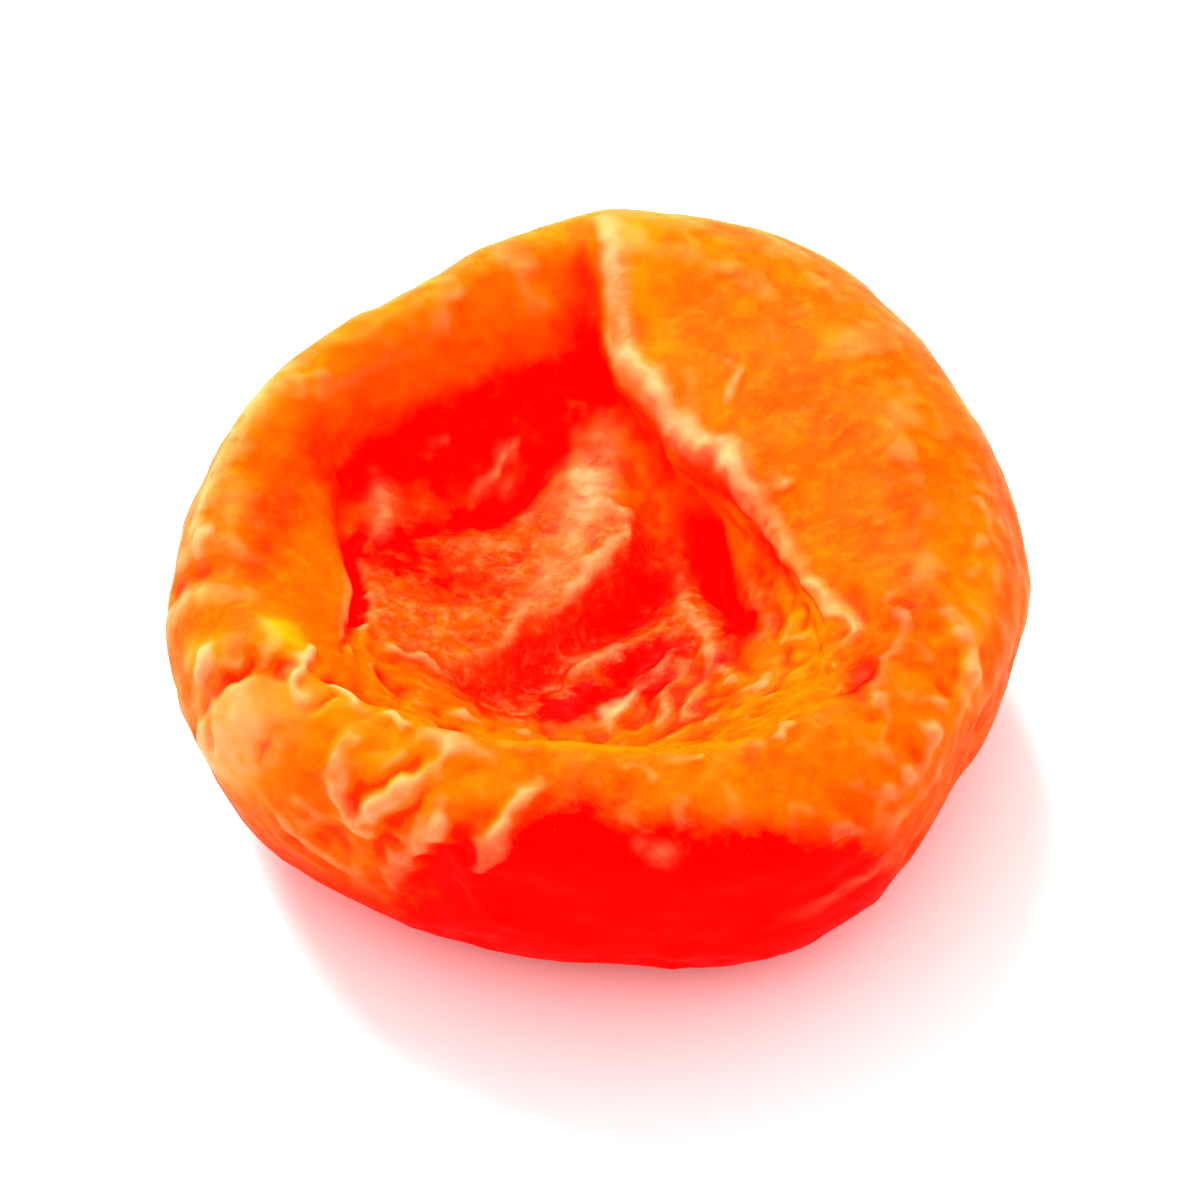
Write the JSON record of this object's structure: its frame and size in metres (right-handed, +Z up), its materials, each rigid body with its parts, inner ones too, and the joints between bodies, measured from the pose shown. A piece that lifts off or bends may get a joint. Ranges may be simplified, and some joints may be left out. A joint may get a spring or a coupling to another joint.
{
  "type": "dried apricot",
  "caption": "Whole pitted dried apricot: a thick wrinkled disc with a rounded rim, a pressed-in hollow on top, a folded-in flap of skin and a flattened underside.",
  "frame": {"origin": "centre of the bounding box at the bottom, on the surface that the fruit rests on", "axes": "+Z up out of the hollow, +Y away from the viewer and along the longest side, +X to the viewer's right"},
  "size_m": [0.033, 0.0346, 0.013],
  "materials": {
    "apricot_skin": "soft waxy sheen, translucent"
  },
  "bodies": {
    "root": {"dried_apricot": "apricot_skin"}
  },
  "joints": []
}
